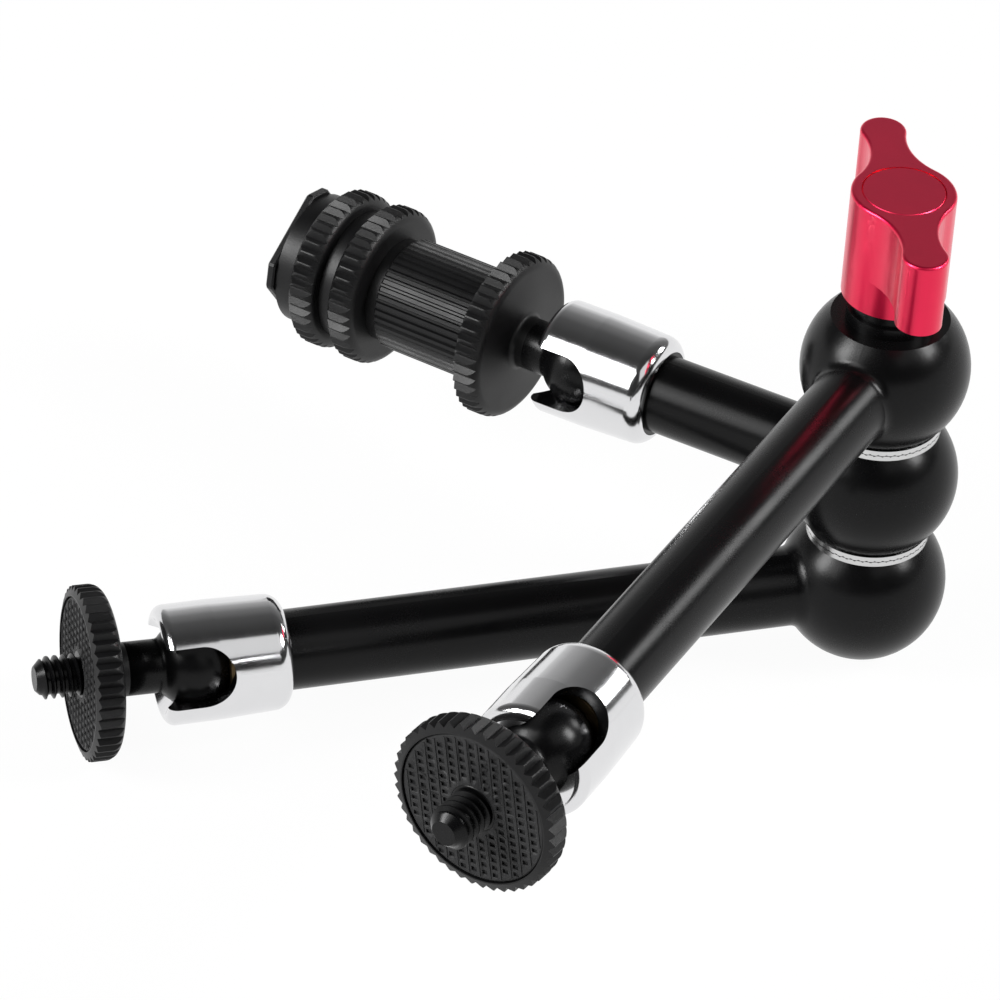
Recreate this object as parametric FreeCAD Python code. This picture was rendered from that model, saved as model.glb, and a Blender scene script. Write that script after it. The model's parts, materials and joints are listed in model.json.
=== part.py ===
import FreeCAD, Part
import math
import os

# Driving dimensions in millimetres and degrees

# Ball housings stacked on the pivot
ball_radius = 12.6
ball_flat_height = 9.0
underside_flat_height = 11.0
hub_bore_radius = 5.3
hub_floor_height = 5.5

# Tubes that leave the housings
tube_radius = 6.0
tube_root_fillet = 2.0
long_tube_reach = 89.6
short_tube_reach = 35.6
thread_end_radius = 6.6
thread_end_length = 4.8
thread_end_chamfer = 0.5

# Directions of the three arms about the pivot
bottom_arm_azimuth = 180.0
middle_arm_azimuth = 135.3
top_arm_azimuth = -134.2

# Serrated rings between the housings
ring_radius = 9.2
ring_base_height = 0.62
ring_tooth_height = 0.18
ring_tooth_count = 48
ring_tooth_width = 0.6
ring_gap = 0.06
ring_spigot_length = 1.2
ring_spigot_wall = 1.0

# Pivot bolt and its wedges
bolt_radius = 3.0
bolt_head_radius = 5.2
bolt_head_height = 3.2
bolt_head_sink = 0.3
bolt_socket_flats = 4.0
bolt_socket_depth = 2.0
wedge_height = 8.0
wedge_foot_radius = 5.0
wedge_tip_radius = 3.7

# Push rods and brake plungers
rod_radius = 2.5
rod_nose_fillet = 1.6
rod_wedge_gap = 0.25
plunger_radius = 6.45
plunger_edge_wall = 0.25

# Slotted cups at the arm ends
cup_radius = 8.95
cup_rear_radius = 8.55
cup_flare_reach = 11.0
cup_length = 18.9
cup_bore_radius = 6.65
cup_ball_depth = 13.7
cup_slot_width = 9.3
cup_seat_reach = 3.7
cup_mouth_radius = 7.2
cup_rear_fillet = 2.4
cup_mouth_fillet = 1.5

# Roll of the slots about each arm, measured up from the horizontal
bottom_slot_roll = 20.7
middle_slot_roll = 8.0
top_slot_roll = 54.8

# Ball studs
stud_ball_radius = 6.5
neck_radius = 4.0
neck_fillet = 1.2
neck_length = 10.4
middle_neck_length = 8.95
shank_radius = 3.5
thread_radius = 3.175
thread_proud_length = 6.5
thread_tip_chamfer = 1.3

# Small leans of the studs at rest, to the side and upwards
bottom_stud_side_lean = 1.4
bottom_stud_up_lean = 2.5
middle_stud_side_lean = -4.2
middle_stud_up_lean = -2.0
top_stud_side_lean = -5.7
top_stud_up_lean = 0.6

# Knurled wheels behind the studs
wheel_radius = 13.0
wheel_thickness = 4.5
wheel_back_round = 1.8
wheel_hub_length = 1.15
wheel_flare_radius = 0.9
wheel_dome_height = 0.4
wheel_front_radius = 11.65
wheel_front_slope = 0.5
wheel_recess_radius = 11.45
wheel_recess_depth = 1.2
pad_sink = 0.2
pad_edge_fillet = 0.45

# Knurl of straight V teeth on the wheels and the nuts
knurl_count = 45
knurl_depth = 0.75
knurl_crest_cut = 0.1

# Knob
knob_height = 17.4
knob_hub_radius = 7.7
knob_wing_reach = 16.1
knob_wing_end_radius = 3.4
knob_waist_radius = 10.7
knob_wing_height = 11.7
knob_edge_fillet = 0.5
knob_insert_radius = 5.0
knob_insert_top_gap = 4.5
knob_insert_floor = 1.0
bolt_end_clearance = 0.5
knob_cap_radius = 6.15
knob_cap_thickness = 1.6
knob_azimuth = -97.3
washer_radius = 6.6
washer_thickness = 1.9
collar_radius = 6.0
collar_height = 2.6

# Coupler between the middle stud and the shoe foot
coupler_radius = 8.9
coupler_flute_length = 17.35
coupler_neck_radius = 8.2
coupler_neck_length = 1.85
coupler_groove_count = 44
coupler_groove_depth = 0.4
coupler_edge_chamfer = 0.4

# Shoe foot with its two nuts
nut_radius = 12.6
nut_thickness = 4.5
nut_back_round = 1.7
nut_edge_chamfer = 0.8
nut_boss_radius = 10.35
lock_boss_height = 2.75
clamp_boss_height = 3.55
foot_width = 18.3
foot_thickness = 1.35
foot_corner_cut = 2.8
foot_edge_chamfer = 0.25
foot_roll = 55.4
post_grip = 7.5

# Clearances between pieces
thread_clearance = 0.05
ball_clearance = 0.06
press_clearance = 0.02
seat_clearance = 0.05

# Overshoot of cutting shapes, and how near an edge lies to the one looked for
overshoot = 1.0
match_tolerance = 0.01

# Values that follow from the driving dimensions
ring_height = ring_base_height + ring_tooth_height
level_spacing = 2 * ball_flat_height + 2 * ring_height + ring_gap
wheel_length = wheel_hub_length + wheel_flare_radius + wheel_dome_height + wheel_thickness
coupler_start = middle_neck_length + wheel_length - pad_sink + seat_clearance
coupler_end = coupler_start + coupler_flute_length + coupler_neck_length
lock_nut_start = coupler_end + seat_clearance
clamp_nut_start = lock_nut_start + nut_thickness + lock_boss_height + seat_clearance
foot_plate_start = clamp_nut_start + nut_thickness + clamp_boss_height + seat_clearance
knob_base = ball_flat_height + washer_thickness + seat_clearance
knob_skirt = knob_base + collar_height
knob_top = knob_skirt + knob_height

X_AXIS = FreeCAD.Vector(1, 0, 0)
Y_AXIS = FreeCAD.Vector(0, 1, 0)
Z_AXIS = FreeCAD.Vector(0, 0, 1)
ORIGIN = FreeCAD.Vector(0, 0, 0)


def along(distance):
    """A point on the local X axis."""
    return FreeCAD.Vector(distance, 0, 0)


def above(height):
    """A point on the local Z axis."""
    return FreeCAD.Vector(0, 0, height)


def rod_solid(radius, start, end):
    """A round bar along X from start to end."""
    return Part.makeCylinder(radius, end - start, along(start), X_AXIS)


def post_solid(radius, bottom, top):
    """A round bar along Z from bottom to top."""
    return Part.makeCylinder(radius, top - bottom, above(bottom), Z_AXIS)


def turned(points, axis):
    """A closed outline of (distance, radius) points turned about X or Z."""
    if axis == X_AXIS:
        corners = [FreeCAD.Vector(distance, radius, 0) for distance, radius in points]
    else:
        corners = [FreeCAD.Vector(radius, 0, distance) for distance, radius in points]
    outline = Part.makePolygon(corners + corners[:1])
    return Part.Face(outline).revolve(ORIGIN, axis, 360)


def circle_edges(shape, axis, distance, radius):
    """The round edges of a shape at one distance along an axis and one radius."""
    found = []
    for edge in shape.Edges:
        if edge.Degenerated or not isinstance(edge.Curve, Part.Circle):
            continue
        centre = edge.Curve.Center
        on_axis = abs(centre.dot(axis) - distance) < match_tolerance
        if on_axis and abs(edge.Curve.Radius - radius) < match_tolerance:
            found.append(edge)
    return found


def arc_to(start, end, centre):
    """A step of a turned outline: the middle of an arc about a centre, and its end."""
    middle_x = (start[0] + end[0]) / 2 - centre[0]
    middle_y = (start[1] + end[1]) / 2 - centre[1]
    radius = math.hypot(end[0] - centre[0], end[1] - centre[1])
    scale = radius / math.hypot(middle_x, middle_y)
    return (centre[0] + middle_x * scale, centre[1] + middle_y * scale, end[0], end[1])


def turned_path(start, steps):
    """An outline turned about X: a step is a corner, or the middle and the end of an arc."""
    first = FreeCAD.Vector(start[0], start[1], 0)
    last = first
    edges = []
    for step in steps:
        end = FreeCAD.Vector(step[-2], step[-1], 0)
        if len(step) == 2:
            edges.append(Part.makeLine(last, end))
        else:
            edges.append(Part.Arc(last, FreeCAD.Vector(step[0], step[1], 0), end).toShape())
        last = end
    edges.append(Part.makeLine(last, first))
    return Part.Face(Part.Wire(edges)).revolve(ORIGIN, X_AXIS, 360)


def chamfered_bar(radius, start, end, chamfer):
    """A round bar along X with both ends chamfered."""
    return turned(
        [
            (start, 0),
            (start, radius - chamfer),
            (start + chamfer, radius),
            (end - chamfer, radius),
            (end, radius - chamfer),
            (end, 0),
        ],
        X_AXIS,
    )


def knurled(blank, radius, start, end):
    """A turned blank with straight V teeth all round, their crests turned flat."""
    corners = []
    for index in range(2 * knurl_count):
        angle = math.pi * index / knurl_count
        level = radius - knurl_depth if index % 2 else radius + knurl_crest_cut
        corners.append(FreeCAD.Vector(start, level * math.cos(angle), level * math.sin(angle)))
    outline = Part.makePolygon(corners + corners[:1])
    return blank.common(Part.Face(outline).extrude(along(end - start)))


def fluted_bar(radius, groove_depth, groove_count, start, end, chamfer):
    """A bar along X with flat-bottomed flutes between straight ribs."""
    step = 2 * math.pi / groove_count
    floor_radius = radius - groove_depth
    rib_corners = ((0.0, radius), (0.45, radius), (0.6, floor_radius), (0.85, floor_radius))
    corners = []
    for index in range(groove_count):
        for share, level in rib_corners:
            angle = step * (index + share)
            corners.append(FreeCAD.Vector(start, level * math.cos(angle), level * math.sin(angle)))
    outline = Part.makePolygon(corners + corners[:1])
    ribs = Part.Face(outline).extrude(along(end - start))
    return ribs.common(chamfered_bar(radius, start, end, chamfer))


def make_arm(tube_reach, underside_height, bolt_floor):
    """One casting: a ball housing with flats, and a tube along X with a threaded end."""
    ball = Part.makeSphere(ball_radius)
    slab_width = 4 * ball_radius
    slab = Part.makeBox(
        slab_width,
        slab_width,
        underside_height + ball_flat_height,
        FreeCAD.Vector(-slab_width / 2, -slab_width / 2, -underside_height),
    )
    body = ball.common(slab).fuse(rod_solid(tube_radius, 0, tube_reach + 2 * press_clearance))
    root_distance = math.sqrt(ball_radius**2 - tube_radius**2)
    body = body.makeFillet(tube_root_fillet, circle_edges(body, X_AXIS, root_distance, tube_radius))
    end = tube_reach + thread_end_length
    thread_end = rod_solid(thread_end_radius, tube_reach + 2 * press_clearance, end)
    front_edge = circle_edges(thread_end, X_AXIS, end, thread_end_radius)
    thread_end = thread_end.makeChamfer(thread_end_chamfer, front_edge)
    body = body.fuse(thread_end)
    rod_bore = rod_solid(rod_radius + thread_clearance, 0, end + overshoot)
    if bolt_floor:
        hub_bore = post_solid(hub_bore_radius, -hub_floor_height, ball_flat_height + overshoot)
        head_top = bolt_head_sink + bolt_head_height - underside_height
        bolt_bore = post_solid(bolt_radius + thread_clearance, -underside_height, 0)
        head_bore = post_solid(bolt_head_radius + thread_clearance, -underside_height - overshoot, head_top)
        hub_bore = hub_bore.fuse([bolt_bore, head_bore])
    else:
        hub_bore = post_solid(hub_bore_radius, -underside_height - overshoot, ball_flat_height + overshoot)
    return body.cut(rod_bore.fuse(hub_bore)).removeSplitter()


def make_ring(pitch_share):
    """A serrated ring that stands on a flat, with a spigot down into the hub bore."""
    spigot_radius = hub_bore_radius - press_clearance
    inner_radius = spigot_radius - ring_spigot_wall
    ring = turned(
        [
            (-ring_spigot_length, inner_radius),
            (-ring_spigot_length, spigot_radius),
            (0, spigot_radius),
            (0, ring_radius),
            (ring_height, ring_radius),
            (ring_height, inner_radius),
        ],
        Z_AXIS,
    )
    corners = [
        FreeCAD.Vector(0, 0, ring_base_height),
        FreeCAD.Vector(0, ring_tooth_width / 2, ring_height),
        FreeCAD.Vector(0, -ring_tooth_width / 2, ring_height),
    ]
    notch = Part.Face(Part.makePolygon(corners + corners[:1])).extrude(along(2 * ring_radius))
    notches = []
    for index in range(ring_tooth_count):
        copy = notch.copy()
        copy.rotate(ORIGIN, Z_AXIS, 360 * (index + pitch_share) / ring_tooth_count)
        notches.append(copy)
    return ring.cut(Part.makeCompound(notches))


def make_wedge():
    """A cone on the pivot bolt that drives a push rod outwards."""
    bore_radius = bolt_radius + thread_clearance
    return turned(
        [
            (-wedge_height / 2, bore_radius),
            (-wedge_height / 2, wedge_foot_radius),
            (wedge_height / 2, wedge_tip_radius),
            (wedge_height / 2, bore_radius),
        ],
        Z_AXIS,
    )


def make_push_rod(tube_reach):
    """The rod inside a tube, from the wedge to the brake plunger."""
    start = (wedge_foot_radius + wedge_tip_radius) / 2 + rod_wedge_gap
    end = tube_reach + thread_end_length + seat_clearance
    rod = rod_solid(rod_radius, start, end)
    return rod.makeFillet(rod_nose_fillet, circle_edges(rod, X_AXIS, start, rod_radius))


def make_plunger(tube_reach):
    """The brake plunger with a hollow that fits the stud's ball."""
    start = tube_reach + thread_end_length + seat_clearance
    centre = tube_reach + cup_ball_depth
    hollow_radius = stud_ball_radius + ball_clearance
    front = centre - math.sqrt(hollow_radius**2 - (plunger_radius - plunger_edge_wall) ** 2)
    neck_root_radius = stud_ball_radius * (neck_radius + neck_fillet) / (stud_ball_radius + neck_fillet)
    neck_limit = centre - neck_root_radius - seat_clearance
    plunger = rod_solid(plunger_radius, start, min(front, neck_limit))
    return plunger.cut(Part.makeSphere(hollow_radius, along(centre)))


def make_slot():
    """The cutting shape of both slots: straight sides from the mouth to a half-round end."""
    half = cup_slot_width / 2
    end = cup_length + overshoot
    side = -2 * cup_radius
    low_corner = FreeCAD.Vector(end, side, -half)
    low_end = FreeCAD.Vector(cup_ball_depth, side, -half)
    round_end = FreeCAD.Vector(cup_ball_depth - half, side, 0)
    high_end = FreeCAD.Vector(cup_ball_depth, side, half)
    high_corner = FreeCAD.Vector(end, side, half)
    edges = [
        Part.makeLine(low_corner, low_end),
        Part.Arc(low_end, round_end, high_end).toShape(),
        Part.makeLine(high_end, high_corner),
        Part.makeLine(high_corner, low_corner),
    ]
    return Part.Face(Part.Wire(edges)).extrude(FreeCAD.Vector(0, 4 * cup_radius, 0))


def make_cup(slot_roll):
    """The slotted cup: its rear edge is at the origin and its mouth faces +X."""
    lip_start = cup_ball_depth + cup_seat_reach
    seat_radius = stud_ball_radius + ball_clearance
    lip_radius = math.sqrt(seat_radius**2 - cup_seat_reach**2)
    shell = turned(
        [
            (0, 0),
            (0, cup_rear_radius),
            (cup_flare_reach, cup_radius),
            (cup_length, cup_radius),
            (cup_length, 0),
        ],
        X_AXIS,
    )
    shell = shell.makeFillet(cup_rear_fillet, circle_edges(shell, X_AXIS, 0, cup_rear_radius))
    shell = shell.makeFillet(cup_mouth_fillet, circle_edges(shell, X_AXIS, cup_length, cup_radius))
    bore = rod_solid(cup_bore_radius, -overshoot, cup_ball_depth)
    seat = Part.makeSphere(seat_radius, along(cup_ball_depth))
    mouth = turned(
        [
            (lip_start, 0),
            (lip_start, lip_radius),
            (cup_length, cup_mouth_radius),
            (cup_length + overshoot, cup_mouth_radius),
            (cup_length + overshoot, 0),
        ],
        X_AXIS,
    )
    cup = shell.cut(bore.fuse([seat, mouth])).cut(make_slot())
    cup = cup.removeSplitter()
    cup.rotate(ORIGIN, X_AXIS, slot_roll)
    return cup


def make_ball_stud(neck_end):
    """Ball, neck, journal and threaded stud in one turned piece, ball centre at the origin."""
    ball_centre = (0, 0)
    fillet_centre_x = math.sqrt((stud_ball_radius + neck_fillet) ** 2 - (neck_radius + neck_fillet) ** 2)
    fillet_centre = (fillet_centre_x, neck_radius + neck_fillet)
    ball_share = stud_ball_radius / (stud_ball_radius + neck_fillet)
    ball_back = (-stud_ball_radius, 0)
    ball_top = (0, stud_ball_radius)
    fillet_start = (fillet_centre[0] * ball_share, fillet_centre[1] * ball_share)
    fillet_end = (fillet_centre_x, neck_radius)
    thread_start = neck_end + wheel_length - pad_sink
    tip = neck_end + wheel_length + thread_proud_length
    return turned_path(
        ball_back,
        [
            arc_to(ball_back, ball_top, ball_centre),
            arc_to(ball_top, fillet_start, ball_centre),
            arc_to(fillet_start, fillet_end, fillet_centre),
            (neck_end, neck_radius),
            (neck_end, shank_radius),
            (thread_start, shank_radius),
            (thread_start, thread_radius),
            (tip - thread_tip_chamfer, thread_radius),
            (tip, thread_radius - thread_tip_chamfer),
            (tip, 0),
        ],
    )


def make_wheel(neck_end):
    """The knurled wheel: a hub that flares into a domed back, a sloped lip and a recess."""
    flare_start = neck_end + wheel_hub_length
    flare_end = flare_start + wheel_flare_radius
    back = flare_end + wheel_dome_height
    face = back + wheel_thickness
    flare_top = neck_radius + wheel_flare_radius
    round_centre = (back + wheel_back_round, wheel_radius - wheel_back_round)
    blank = turned_path(
        (neck_end, 0),
        [
            (neck_end, neck_radius),
            (flare_start, neck_radius),
            arc_to((flare_start, neck_radius), (flare_end, flare_top), (flare_start, flare_top)),
            (back, round_centre[1]),
            arc_to((back, round_centre[1]), (round_centre[0], wheel_radius), round_centre),
            (face - wheel_front_slope, wheel_radius),
            (face, wheel_front_radius),
            (face, 0),
        ],
    )
    recess = rod_solid(wheel_recess_radius, face - wheel_recess_depth, face + overshoot)
    bore = rod_solid(shank_radius + thread_clearance, neck_end - overshoot, face + overshoot)
    return knurled(blank, wheel_radius, neck_end, face).cut(recess.fuse(bore))


def make_pad(neck_end):
    """The grip pad in the wheel's recess."""
    face = neck_end + wheel_length - pad_sink
    pad_radius = wheel_recess_radius - press_clearance
    pad = rod_solid(pad_radius, neck_end + wheel_length - wheel_recess_depth, face)
    pad = pad.makeFillet(pad_edge_fillet, circle_edges(pad, X_AXIS, face, pad_radius))
    return pad.cut(rod_solid(shank_radius + thread_clearance, neck_end, face + overshoot))


def make_coupler():
    """The fluted coupler with a plain neck and a thread right through, past the wheel."""
    neck_start = coupler_start + coupler_flute_length
    bar = fluted_bar(
        coupler_radius,
        coupler_groove_depth,
        coupler_groove_count,
        coupler_start,
        neck_start,
        coupler_edge_chamfer,
    )
    neck = rod_solid(coupler_neck_radius, neck_start - coupler_edge_chamfer, coupler_end)
    return bar.fuse(neck).cut(rod_solid(thread_radius + thread_clearance, 0, coupler_end + overshoot))


def make_knurled_nut(start, boss_height):
    """A knurled nut on the shoe's post, with a plain boss on the side of the foot."""
    end = start + nut_thickness
    round_centre = (start + nut_back_round, nut_radius - nut_back_round)
    blank = turned_path(
        (start, 0),
        [
            (start, round_centre[1]),
            arc_to((start, round_centre[1]), (round_centre[0], nut_radius), round_centre),
            (end - nut_edge_chamfer, nut_radius),
            (end, nut_radius - nut_edge_chamfer),
            (end, nut_boss_radius),
            (end + boss_height, nut_boss_radius),
            (end + boss_height, 0),
        ],
    )
    nut = knurled(blank, nut_radius, start, end + boss_height)
    return nut.cut(rod_solid(thread_radius + thread_clearance, 0, end + boss_height + overshoot))


def make_shoe_foot():
    """The accessory shoe foot: a square plate with cut corners and a threaded post."""
    half = foot_width / 2
    inset = half - foot_corner_cut
    corners = []
    for quarter in range(4):
        for across, up in ((half, -inset), (half, inset)):
            angle = math.radians(90 * quarter)
            corners.append(
                FreeCAD.Vector(
                    foot_plate_start,
                    across * math.cos(angle) - up * math.sin(angle),
                    across * math.sin(angle) + up * math.cos(angle),
                )
            )
    outline = Part.makePolygon(corners + corners[:1])
    plate = Part.Face(outline).extrude(along(foot_thickness))
    plate = plate.makeChamfer(foot_edge_chamfer, plate.Edges)
    plate.rotate(ORIGIN, X_AXIS, foot_roll)
    post = rod_solid(thread_radius, coupler_end - post_grip, foot_plate_start + foot_thickness / 2)
    return plate.fuse(post)


def knob_outline():
    """The knob's plan: a round hub and two round-ended wings, joined by hollow waists."""
    hub_reach = knob_hub_radius + knob_waist_radius
    end_reach = knob_wing_end_radius + knob_waist_radius
    waist_x = (hub_reach**2 - end_reach**2 + knob_wing_reach**2) / (2 * knob_wing_reach)
    waist_y = math.sqrt(hub_reach**2 - waist_x**2)
    hub_share = knob_hub_radius / hub_reach
    end_share = knob_wing_end_radius / end_reach
    hub_point = (waist_x * hub_share, waist_y * hub_share)
    waist_point = (waist_x, waist_y - knob_waist_radius)
    end_point = (knob_wing_reach + (waist_x - knob_wing_reach) * end_share, waist_y * end_share)
    points = []
    for side in (1, -1):
        points += [
            (side * (knob_wing_reach + knob_wing_end_radius), 0),
            (side * end_point[0], side * end_point[1]),
            (side * waist_point[0], side * waist_point[1]),
            (side * hub_point[0], side * hub_point[1]),
            (0, side * knob_hub_radius),
            (-side * hub_point[0], side * hub_point[1]),
            (-side * waist_point[0], side * waist_point[1]),
            (-side * end_point[0], side * end_point[1]),
        ]
    corners = [FreeCAD.Vector(x, y, 0) for x, y in points[-1:] + points]
    edges = []
    for index in range(0, len(points), 2):
        edges.append(Part.Arc(corners[index], corners[index + 1], corners[index + 2]).toShape())
    return Part.Face(Part.Wire(edges))


def make_knob():
    """The two-winged knob: its wings stop short of the hub's foot."""
    wings = knob_outline().extrude(above(knob_wing_height))
    wings.translate(above(knob_top - knob_wing_height))
    hub = post_solid(knob_hub_radius, knob_skirt, knob_top - knob_wing_height)
    body = wings.fuse(hub).removeSplitter()
    rim = [edge for edge in body.Edges if edge.BoundBox.ZMin > knob_top - match_tolerance]
    body = body.makeFillet(knob_edge_fillet, rim)
    insert_top = knob_top - knob_insert_top_gap
    insert_bore = post_solid(knob_insert_radius + press_clearance, knob_skirt - overshoot, insert_top)
    cap_floor = knob_top - knob_cap_thickness
    cap_bore = post_solid(knob_cap_radius + press_clearance, cap_floor, knob_top + overshoot)
    body = body.cut(insert_bore.fuse(cap_bore))
    body.rotate(ORIGIN, Z_AXIS, knob_azimuth)
    return body


def make_knob_insert():
    """The threaded steel insert in the knob, with a collar that turns on the washer."""
    insert_top = knob_top - knob_insert_top_gap
    insert = post_solid(knob_insert_radius, knob_base, insert_top)
    insert = insert.fuse(post_solid(collar_radius, knob_base, knob_skirt))
    return insert.cut(post_solid(bolt_radius + thread_clearance, 0, insert_top - knob_insert_floor))


def make_knob_cap():
    """The round cap let into the top of the knob."""
    return post_solid(knob_cap_radius, knob_top - knob_cap_thickness, knob_top - press_clearance)


def make_washer():
    """The thrust washer between the top housing and the knob."""
    ring = post_solid(washer_radius, ball_flat_height, ball_flat_height + washer_thickness)
    return ring.cut(post_solid(bolt_radius + thread_clearance, 0, knob_base))


def make_pivot_bolt():
    """The bolt through all three housings, its socket head sunk in the lowest one."""
    head_bottom = bolt_head_sink - underside_flat_height
    head_top = head_bottom + bolt_head_height
    bolt_end = 2 * level_spacing + knob_top - knob_insert_top_gap - knob_insert_floor - bolt_end_clearance
    bolt = post_solid(bolt_head_radius, head_bottom, head_top - seat_clearance)
    bolt = bolt.fuse(post_solid(bolt_radius, head_bottom, bolt_end))
    corner_radius = bolt_socket_flats / math.sqrt(3)
    corners = []
    for index in range(6):
        angle = math.radians(60 * index)
        corners.append(
            FreeCAD.Vector(corner_radius * math.cos(angle), corner_radius * math.sin(angle), head_bottom)
        )
    socket = Part.Face(Part.makePolygon(corners + corners[:1])).extrude(above(bolt_socket_depth))
    return bolt.cut(socket)


def lean_direction(side_lean, up_lean):
    """The turn that leans a stud off its arm's axis."""
    return FreeCAD.Rotation(Z_AXIS, side_lean).multiply(FreeCAD.Rotation(Y_AXIS, -up_lean))


def placed(shape, turn, position):
    """A copy of a shape, turned about the origin and then moved."""
    copy = shape.copy()
    copy.Placement = FreeCAD.Placement(position, turn).multiply(copy.Placement)
    return copy


def bottom_stud_seat():
    """The middle of the bottom wheel's face, seen from the pivot: the origin of the part."""
    lean = lean_direction(bottom_stud_side_lean, bottom_stud_up_lean)
    seat = along(long_tube_reach + cup_ball_depth) + lean.multVec(along(neck_length + wheel_length))
    return FreeCAD.Rotation(Z_AXIS, bottom_arm_azimuth).multVec(seat)


def on_arm(shape, azimuth, level, reach=0.0, lean=None):
    """Places a piece modelled along X on one arm: out by reach, leaned, swung and lifted."""
    leaned = placed(shape, lean or FreeCAD.Rotation(), along(reach))
    return placed(leaned, FreeCAD.Rotation(Z_AXIS, azimuth), above(level * level_spacing))


def at_height(shape, height, upside_down=False):
    """Places a piece modelled along Z on the pivot."""
    turn = FreeCAD.Rotation(X_AXIS, 180) if upside_down else FreeCAD.Rotation()
    return placed(shape, turn, above(height))


def build_arm_pieces(name, azimuth, level, reach, slot_roll, neck_end, side_lean, up_lean):
    """Every piece that belongs to one arm, keyed by its node name."""
    is_bottom = level == 0
    underside = underside_flat_height if is_bottom else ball_flat_height
    lean = lean_direction(side_lean, up_lean)
    ball_reach = reach + cup_ball_depth
    return {
        f"{name}_arm": on_arm(make_arm(reach, underside, is_bottom), azimuth, level),
        f"{name}_push_rod": on_arm(make_push_rod(reach), azimuth, level),
        f"{name}_brake_plunger": on_arm(make_plunger(reach), azimuth, level),
        f"{name}_cup": on_arm(make_cup(slot_roll), azimuth, level, reach),
        f"{name}_ball_stud": on_arm(make_ball_stud(neck_end), azimuth, level, ball_reach, lean),
        f"{name}_wheel": on_arm(make_wheel(neck_end), azimuth, level, ball_reach, lean),
        f"{name}_wheel_pad": on_arm(make_pad(neck_end), azimuth, level, ball_reach, lean),
        f"{name}_wedge": at_height(make_wedge(), level * level_spacing),
    }


def build_shoe_pieces():
    """The coupler, nuts and shoe foot on the middle arm's stud."""
    reach = short_tube_reach + cup_ball_depth
    lean = lean_direction(middle_stud_side_lean, middle_stud_up_lean)
    pieces = {
        "coupler": make_coupler(),
        "lock_nut": make_knurled_nut(lock_nut_start, lock_boss_height),
        "clamp_nut": make_knurled_nut(clamp_nut_start, clamp_boss_height),
        "shoe_foot": make_shoe_foot(),
    }
    return {name: on_arm(shape, middle_arm_azimuth, 1, reach, lean) for name, shape in pieces.items()}


def build_pivot_pieces():
    """The rings between the housings, the bolt and the knob."""
    top_level = 2 * level_spacing
    return {
        "bottom_arm_ring": at_height(make_ring(0.0), ball_flat_height),
        "middle_arm_lower_ring": at_height(make_ring(0.5), level_spacing - ball_flat_height, True),
        "middle_arm_upper_ring": at_height(make_ring(0.0), level_spacing + ball_flat_height),
        "top_arm_ring": at_height(make_ring(0.5), top_level - ball_flat_height, True),
        "pivot_bolt": make_pivot_bolt(),
        "thrust_washer": at_height(make_washer(), top_level),
        "knob_insert": at_height(make_knob_insert(), top_level),
        "knob": at_height(make_knob(), top_level),
        "knob_cap": at_height(make_knob_cap(), top_level),
    }


def build_all():
    """All pieces of the arm in their own places."""
    pieces = build_arm_pieces(
        "bottom",
        bottom_arm_azimuth,
        0,
        long_tube_reach,
        bottom_slot_roll,
        neck_length,
        bottom_stud_side_lean,
        bottom_stud_up_lean,
    )
    middle_pieces = build_arm_pieces(
        "middle",
        middle_arm_azimuth,
        1,
        short_tube_reach,
        middle_slot_roll,
        middle_neck_length,
        middle_stud_side_lean,
        middle_stud_up_lean,
    )
    top_pieces = build_arm_pieces(
        "top",
        top_arm_azimuth,
        2,
        long_tube_reach,
        top_slot_roll,
        neck_length,
        top_stud_side_lean,
        top_stud_up_lean,
    )
    pieces.update(middle_pieces)
    pieces.update(top_pieces)
    pieces.update(build_pivot_pieces())
    pieces.update(build_shoe_pieces())
    to_origin = bottom_stud_seat() * -1
    return {name: placed(shape, FreeCAD.Rotation(), to_origin) for name, shape in pieces.items()}


def main():
    os.makedirs("parts", exist_ok=True)
    for name, shape in build_all().items():
        if not shape.isValid():
            raise ValueError(f"{name} is not a valid solid")
        shape.exportStep(f"parts/{name}.step")
        print(name, len(shape.Solids), round(shape.Volume, 1))


main()
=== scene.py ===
import json
import math

import bmesh
import bpy
from mathutils import Matrix, Vector


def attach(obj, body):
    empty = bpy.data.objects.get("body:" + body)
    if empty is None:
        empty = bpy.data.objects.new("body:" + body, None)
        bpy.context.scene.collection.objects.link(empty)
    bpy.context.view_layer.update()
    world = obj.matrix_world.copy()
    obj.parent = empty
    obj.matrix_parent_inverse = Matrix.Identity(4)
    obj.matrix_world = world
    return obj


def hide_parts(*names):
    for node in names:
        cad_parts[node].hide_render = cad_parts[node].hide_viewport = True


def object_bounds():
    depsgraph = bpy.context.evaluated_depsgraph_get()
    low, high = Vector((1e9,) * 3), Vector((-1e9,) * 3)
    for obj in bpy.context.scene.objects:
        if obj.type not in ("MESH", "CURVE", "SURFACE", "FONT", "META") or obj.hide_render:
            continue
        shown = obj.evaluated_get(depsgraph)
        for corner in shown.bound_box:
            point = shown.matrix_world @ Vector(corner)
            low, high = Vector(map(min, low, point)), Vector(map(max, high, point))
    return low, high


bl_info = {
    "name": "Friction Arm Looks",
    "version": (1, 0, 0),
    "blender": (4, 5, 0),
    "location": "View3D > Sidebar > Friction Arm",
    "description": "Finishes and fine pieces of a three-headed articulating friction arm",
    "category": "Object",
}

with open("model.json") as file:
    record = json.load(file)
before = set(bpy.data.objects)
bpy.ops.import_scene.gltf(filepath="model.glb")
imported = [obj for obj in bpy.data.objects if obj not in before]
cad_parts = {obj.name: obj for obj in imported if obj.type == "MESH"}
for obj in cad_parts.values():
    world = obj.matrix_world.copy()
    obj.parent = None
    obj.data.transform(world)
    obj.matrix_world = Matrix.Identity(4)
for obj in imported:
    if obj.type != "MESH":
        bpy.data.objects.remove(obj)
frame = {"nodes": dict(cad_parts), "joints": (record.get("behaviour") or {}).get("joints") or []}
cad_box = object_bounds()

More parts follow.
